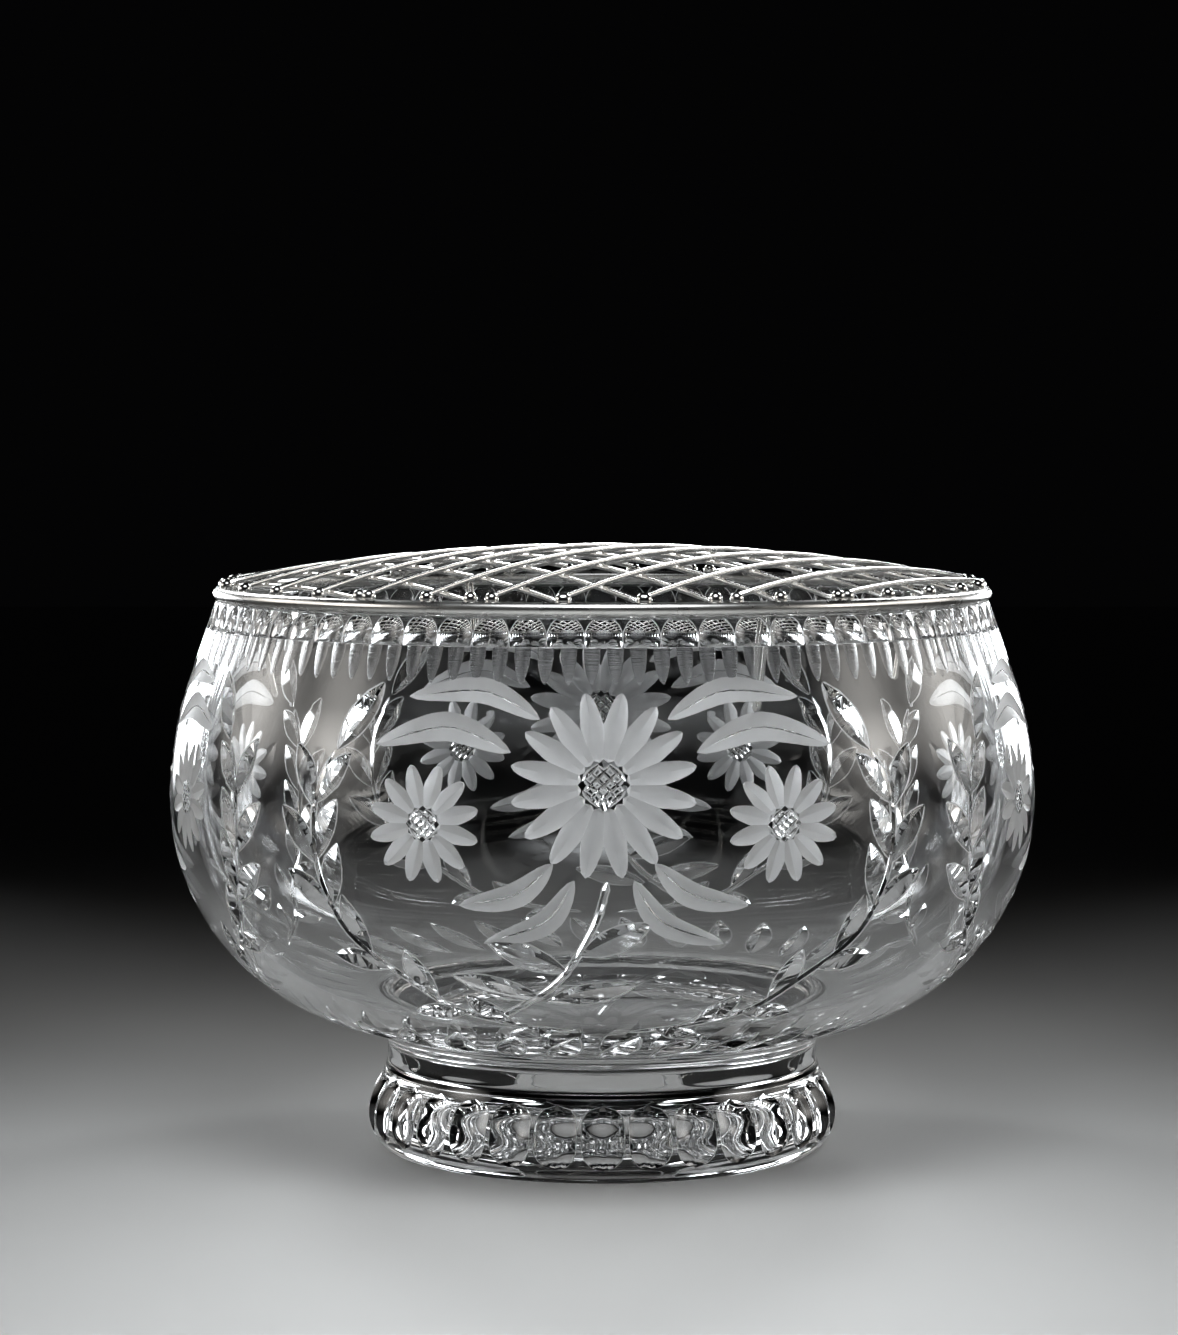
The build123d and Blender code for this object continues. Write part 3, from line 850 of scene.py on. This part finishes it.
class Finish:
    """Node material with the object's own coordinates to hand."""

    def __init__(self, name):
        self.material = bpy.data.materials.new(name)
        self.material.use_nodes = True
        self.nodes = self.material.node_tree.nodes
        self.links = self.material.node_tree.links
        self.shader = self.nodes["Principled BSDF"]
        self.place = self.nodes.new("ShaderNodeTexCoord").outputs["Object"]

    def set(self, **values):
        """Sets the shader's own values, which are the same all over."""
        for name, value in values.items():
            self.shader.inputs[name.replace("_", " ")].default_value = value
        return self

    def noise(self, scale, detail=3.0, stretch=(1, 1, 1)):
        """Noise over the object, drawn closer along the axes with a larger stretch."""
        node = self.nodes.new("ShaderNodeTexNoise")
        node.inputs["Scale"].default_value = scale
        node.inputs["Detail"].default_value = detail
        drawn = self.nodes.new("ShaderNodeVectorMath")
        drawn.operation = "MULTIPLY"
        drawn.inputs[1].default_value = stretch
        self.links.new(self.place, drawn.inputs[0])
        self.links.new(drawn.outputs["Vector"], node.inputs["Vector"])
        return node.outputs["Fac"]

    def height(self):
        """Height above the table."""
        node = self.nodes.new("ShaderNodeSeparateXYZ")
        self.links.new(self.place, node.inputs["Vector"])
        return node.outputs["Z"]

    def between(self, source, low, high, start=0.3, end=0.7):
        """The source from start to end, brought to a run from low to high."""
        node = self.nodes.new("ShaderNodeMapRange")
        node.inputs["From Min"].default_value = start
        node.inputs["From Max"].default_value = end
        node.inputs["To Min"].default_value = low
        node.inputs["To Max"].default_value = high
        self.links.new(source, node.inputs["Value"])
        return node.outputs["Result"]

    def blend(self, source, first, second):
        """Colour from the first to the second as the source goes from 0 to 1."""
        node = self.nodes.new("ShaderNodeMix")
        node.data_type = "RGBA"
        node.inputs["A"].default_value = (*first, 1)
        node.inputs["B"].default_value = (*second, 1)
        self.links.new(source, node.inputs["Factor"])
        return node.outputs["Result"]

    def mottle(self, scale, first, second):
        """Base colour that drifts between two colours."""
        cloud = self.between(self.noise(scale), low=0.0, high=1.0)
        return self.feed("Base Color", self.blend(cloud, first, second))

    def feed(self, name, source):
        """Joins a source to one of the shader's values."""
        self.links.new(source, self.shader.inputs[name])
        return self

    def relief(self, source, strength, distance):
        """Fine bumps in the surface."""
        node = self.nodes.new("ShaderNodeBump")
        node.inputs["Strength"].default_value = strength
        node.inputs["Distance"].default_value = distance
        self.links.new(source, node.inputs["Height"])
        self.links.new(node.outputs["Normal"], self.shader.inputs["Normal"])
        return self


def shade(colour, factor):
    """The colour made lighter or darker."""
    return tuple(channel * factor for channel in colour)


def clear_crystal(name, colours, rough, ripple, strength):
    """Polished lead crystal with a faint waviness."""
    finish = Finish(name).set(Transmission_Weight=1.0, IOR=colours.crystal_index)
    finish.mottle(30.0, colours.crystal, shade(colours.crystal, 0.985))
    finish.feed("Roughness", finish.between(finish.noise(220.0), low=0.0, high=rough))
    finish.relief(finish.noise(ripple), strength, distance=0.4 * MM)
    return finish.material


def matt_crystal(name, colours, clear_share, rough):
    """Crystal ground matt by the engraver's wheel, so much of it still letting light through."""
    finish = Finish(name).set(Transmission_Weight=clear_share, IOR=colours.crystal_index)
    finish.mottle(120.0, colours.frost, shade(colours.frost, 0.88))
    finish.feed("Roughness", finish.between(finish.noise(400.0), *rough))
    finish.relief(finish.noise(2600.0), strength=0.25, distance=0.08 * MM)
    return finish.material


def brushed_crystal(name, colours, bottom, top):
    """Matt finish of the fringe, which clears from its bottom up to its top."""
    finish = Finish(name).set(Transmission_Weight=0.9, IOR=colours.crystal_index)
    finish.mottle(120.0, shade(colours.frost, 0.82), shade(colours.frost, 0.66))
    finish.feed("Roughness", finish.between(finish.height(), low=0.3, high=0.06, start=bottom, end=top))
    finish.relief(finish.noise(500.0, stretch=(0.2, 0.2, 4)), strength=0.5, distance=0.15 * MM)
    return finish.material


def painted_glint_edge(name, colours):
    """Fine edges of the cuts in a near-white rough finish, a painted glint, which catches light from outside
    and from within the glass.
    """
    finish = Finish(name).set(Transmission_Weight=0.4, IOR=colours.crystal_index)
    # The near-white mottle is painted glint colour, standing in for the glints of the clear crystal's real
    # edges.
    finish.mottle(90.0, colours.edge, shade(colours.edge, 0.8))
    finish.feed("Roughness", finish.between(finish.noise(300.0), low=0.4, high=0.55))
    return finish.material


def plated(name, bright, worn, rough, grain):
    """Bright plate with light wear."""
    finish = Finish(name).set(Metallic=1.0)
    wear = finish.between(finish.noise(70.0, detail=6.0), low=0.0, high=1.0, start=0.55, end=0.85)
    finish.feed("Base Color", finish.blend(wear, bright, worn))
    finish.feed("Roughness", finish.between(finish.noise(160.0), *rough))
    finish.relief(finish.noise(grain), strength=0.06, distance=0.05 * MM)
    return finish.material


def dress(names, material):
    """Gives CAD nodes a finish."""
    for name in names:
        mesh = frame["nodes"][name].data
        mesh.materials.clear()
        mesh.materials.append(material)


def nodes_like(start):
    """Names of the CAD nodes that begin so."""
    return sorted(name for name in frame["nodes"] if name.startswith(start))


class ROSEBOWL_OT_crystal(bpy.types.Operator):
    """Turn the glass and cut it"""

    bl_idname = "rosebowl.crystal"
    bl_label = "Cut Crystal"

    def execute(self, context):
        scene = context.scene
        cuts = scene.rosebowl_cuts
        colours = scene.rosebowl_finish
        shape = GlassShape(scene.rosebowl_blank)
        polished = clear_crystal("polished_crystal", colours, rough=0.02, ripple=26.0, strength=0.05)
        facet = clear_crystal("cut_facets", colours, rough=0.03, ripple=60.0, strength=0.02)
        matt = matt_crystal("matt_engraving", colours, clear_share=0.35, rough=(0.5, 0.65))
        fringe_top = shape.reach(cuts.ledge_rise)[1]
        fringe_end = shape.reach(cuts.ledge_rise - cuts.fringe_length)[1]
        brushed = brushed_crystal("brushed_fringe", colours, fringe_end, fringe_top)
        glass = bpy.data.objects.new("cut_crystal", blank_mesh(shape))
        scene.collection.objects.link(glass)
        glass.data.materials.append(polished)
        # The fine cut edges get the near-white painted-glint finish.
        bench = WheelBench(scene, painted_glint_edge("bright_edges", colours))
        cut_rim(bench, shape, cuts, facet)
        cut_fringe(bench, shape, cuts, brushed)
        cut_sprays(bench, shape, cuts, facet)
        cut_panels(bench, shape, cuts, matt, facet)
        cut_wreath(bench, shape, cuts, facet)
        cut_foot(bench, shape, cuts, facet)
        mesh = bench.cut(glass)
        old = glass.data
        glass.data = mesh
        bpy.data.meshes.remove(old)
        mesh.name = "cut_crystal"
        polish(mesh, shape)
        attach(glass, "bowl")
        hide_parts("glass_bowl", "glass_foot")
        dress(["glass_bowl", "glass_foot"], polished)
        return {"FINISHED"}


class ROSEBOWL_OT_ring(bpy.types.Operator):
    """Finish the ring of the grille"""

    bl_idname = "rosebowl.ring"
    bl_label = "Grille Ring"

    def execute(self, context):
        colours = context.scene.rosebowl_finish
        ring = plated("silver_plate_ring", colours.silver, colours.tarnish, rough=(0.24, 0.32), grain=900.0)
        dress(["rim_ring"], ring)
        return {"FINISHED"}


class ROSEBOWL_OT_wires(bpy.types.Operator):
    """Finish both layers of grille wires"""

    bl_idname = "rosebowl.wires"
    bl_label = "Grille Wires"

    def execute(self, context):
        colours = context.scene.rosebowl_finish
        wire = plated("silver_plate_wire", colours.silver, colours.tarnish, rough=(0.18, 0.28), grain=1500.0)
        dress(nodes_like("over_wire") + nodes_like("under_wire"), wire)
        return {"FINISHED"}


class ROSEBOWL_OT_legs(bpy.types.Operator):
    """Finish the spring legs under the ring"""

    bl_idname = "rosebowl.legs"
    bl_label = "Spring Legs"

    def execute(self, context):
        colours = context.scene.rosebowl_finish
        leg = plated("silver_plate_leg", colours.silver, colours.tarnish, rough=(0.16, 0.26), grain=1300.0)
        dress(nodes_like("spring_leg"), leg)
        return {"FINISHED"}


class ROSEBOWL_OT_beads(bpy.types.Operator):
    """Finish the solder beads"""

    bl_idname = "rosebowl.beads"
    bl_label = "Solder Beads"

    def execute(self, context):
        colours = context.scene.rosebowl_finish
        bead = plated("solder", colours.solder, colours.tarnish, rough=(0.16, 0.28), grain=1100.0)
        dress(["solder_beads"], bead)
        return {"FINISHED"}


# Of a lamp: place, aim, width and height, spread in degrees. Paired lamps begin with name, power and colour.
OVERHEAD = ((0, -0.36, 0.50), (0, -0.24, 0), (0.6, 0.45), 75)
PAIRED_LAMPS = [  # as they stand on the right; the left ones mirror them
    ("softbox", "sides", "warm", (0.83, 0.10, 0.36), (0, -0.20, 0.14), (1.4, 0.7), 40),
    ("fill", "fills", "warm", (0.85, -0.28, 0.36), (0, -0.10, 0.14), (0.9, 0.7), 36),
    ("edge", "edges", "cool", (0.55, 0.60, 0.15), (0, 0, 0.13), (0.2, 0.28), 28),
    ("back", "sparkle", "cool", (0.40, 0.70, 0.16), (0, 0, 0.14), (0.2, 0.28), 28),
    ("high", "highs", "cool", (0.40, 0.62, 0.58), (0, -0.06, 0.15), (0.35, 0.35), 32),
]
LAMP_MIDDLE = (0.5, 0.5, 0)  # each way across a lamp runs from 0 to 1
LAMP_FADE = (0.52, 0.12)  # how far from its middle a lamp goes dark, and how far it keeps full strength


class ROSEBOWL_OT_stage(bpy.types.Operator):
    """Set out the floor, the light and the camera"""

    bl_idname = "rosebowl.stage"
    bl_label = "Stage"

    def execute(self, context):
        scene = context.scene
        stage = scene.rosebowl_stage
        self.lay_floor(scene, stage)
        self.softbox("overhead_softbox", stage.overhead, stage.cool, *OVERHEAD)
        for side, mirror in (("left", -1), ("right", 1)):
            for name, power, colour, (x, y, z), *rest in PAIRED_LAMPS:
                place = (x * mirror, y, z)
                self.softbox(f"{side}_{name}", getattr(stage, power), getattr(stage, colour), place, *rest)
        world = bpy.data.worlds.new("dim_room")
        world.use_nodes = True
        world.node_tree.nodes["Background"].inputs["Color"].default_value = (*stage.surround, 1)
        scene.world = world
        self.place_camera(scene, stage)
        scene.view_settings.view_transform = "Standard"
        scene.cycles.max_bounces = 24
        scene.cycles.transmission_bounces = 24
        scene.cycles.glossy_bounces = 10
        scene.cycles.sample_clamp_indirect = 8.0
        return {"FINISHED"}

    def lay_floor(self, scene, stage):
        """A plain pale sheet under the bowl."""
        half = stage.floor_size / 2
        corners = [(-half, -half, 0), (half, -half, 0), (half, half, 0), (-half, half, 0)]
        mesh = bpy.data.meshes.new("floor")
        mesh.from_pydata(corners, [], [(0, 1, 2, 3)])
        floor = bpy.data.objects.new("floor", mesh)
        scene.collection.objects.link(floor)
        finish = Finish("floor_sheet").set(Roughness=0.6)
        finish.mottle(9.0, stage.floor, shade(stage.floor, 0.97))
        mesh.materials.append(finish.material)

    def softbox(self, name, power, colour, place, aim, size, spread):
        """A soft lamp that fades towards its edges."""
        lamp = bpy.data.lights.new(name, "AREA")
        lamp.color = colour
        lamp.shape = "RECTANGLE"
        lamp.size, lamp.size_y = size
        lamp.energy = power
        lamp.spread = radians(spread)
        lamp.use_nodes = True
        nodes = lamp.node_tree.nodes
        links = lamp.node_tree.links
        middle = nodes.new("ShaderNodeVectorMath")
        middle.operation = "DISTANCE"
        middle.inputs[1].default_value = LAMP_MIDDLE
        links.new(nodes.new("ShaderNodeNewGeometry").outputs["Parametric"], middle.inputs[0])
        fade = nodes.new("ShaderNodeMapRange")
        fade.interpolation_type = "SMOOTHSTEP"
        fade.inputs["From Min"].default_value = LAMP_FADE[0]
        fade.inputs["From Max"].default_value = LAMP_FADE[1]
        links.new(middle.outputs["Value"], fade.inputs["Value"])
        links.new(fade.outputs["Result"], nodes["Emission"].inputs["Strength"])
        box = bpy.data.objects.new(name, lamp)
        bpy.context.scene.collection.objects.link(box)
        box.location = place
        box.rotation_euler = (Vector(aim) - Vector(place)).to_track_quat("-Z", "Y").to_euler()
        box.visible_camera = False

    def place_camera(self, scene, stage):
        """The camera, level from side to side and looking a little down."""
        lens = bpy.data.cameras.new("camera")
        lens.lens = stage.lens
        lens.sensor_width = 36.0
        lens.clip_start = 0.01
        camera = bpy.data.objects.new("camera", lens)
        scene.collection.objects.link(camera)
        camera.location = stage.camera_place
        camera.rotation_euler = (pi / 2 - stage.camera_dip, 0, 0)
        scene.camera = camera


class ROSEBOWL_PT_panel(bpy.types.Panel):
    """Steps of the build, in order"""

    bl_idname = "ROSEBOWL_PT_panel"
    bl_label = "Rose Bowl"
    bl_space_type = "VIEW_3D"
    bl_region_type = "UI"
    bl_category = "Rose Bowl"

    def draw(self, context):
        for operator in OPERATORS:
            self.layout.operator(operator.bl_idname)


GROUPS = {
    "rosebowl_blank": RoseBowlBlank,
    "rosebowl_cuts": RoseBowlCuts,
    "rosebowl_finish": RoseBowlFinish,
    "rosebowl_stage": RoseBowlStage,
}
OPERATORS = (
    ROSEBOWL_OT_crystal,
    ROSEBOWL_OT_ring,
    ROSEBOWL_OT_wires,
    ROSEBOWL_OT_legs,
    ROSEBOWL_OT_beads,
    ROSEBOWL_OT_stage,
)


def register():
    for name, group in GROUPS.items():
        bpy.utils.register_class(group)
        setattr(bpy.types.Scene, name, PointerProperty(type=group))
    for operator in OPERATORS:
        bpy.utils.register_class(operator)
    bpy.utils.register_class(ROSEBOWL_PT_panel)


def unregister():
    bpy.utils.unregister_class(ROSEBOWL_PT_panel)
    for operator in reversed(OPERATORS):
        bpy.utils.unregister_class(operator)
    for name, group in reversed(GROUPS.items()):
        delattr(bpy.types.Scene, name)
        bpy.utils.unregister_class(group)


def main():
    register()
    bpy.ops.rosebowl.crystal()
    bpy.ops.rosebowl.ring()
    bpy.ops.rosebowl.wires()
    bpy.ops.rosebowl.legs()
    bpy.ops.rosebowl.beads()
    bpy.ops.rosebowl.stage()


if __name__ == "__main__":
    main()
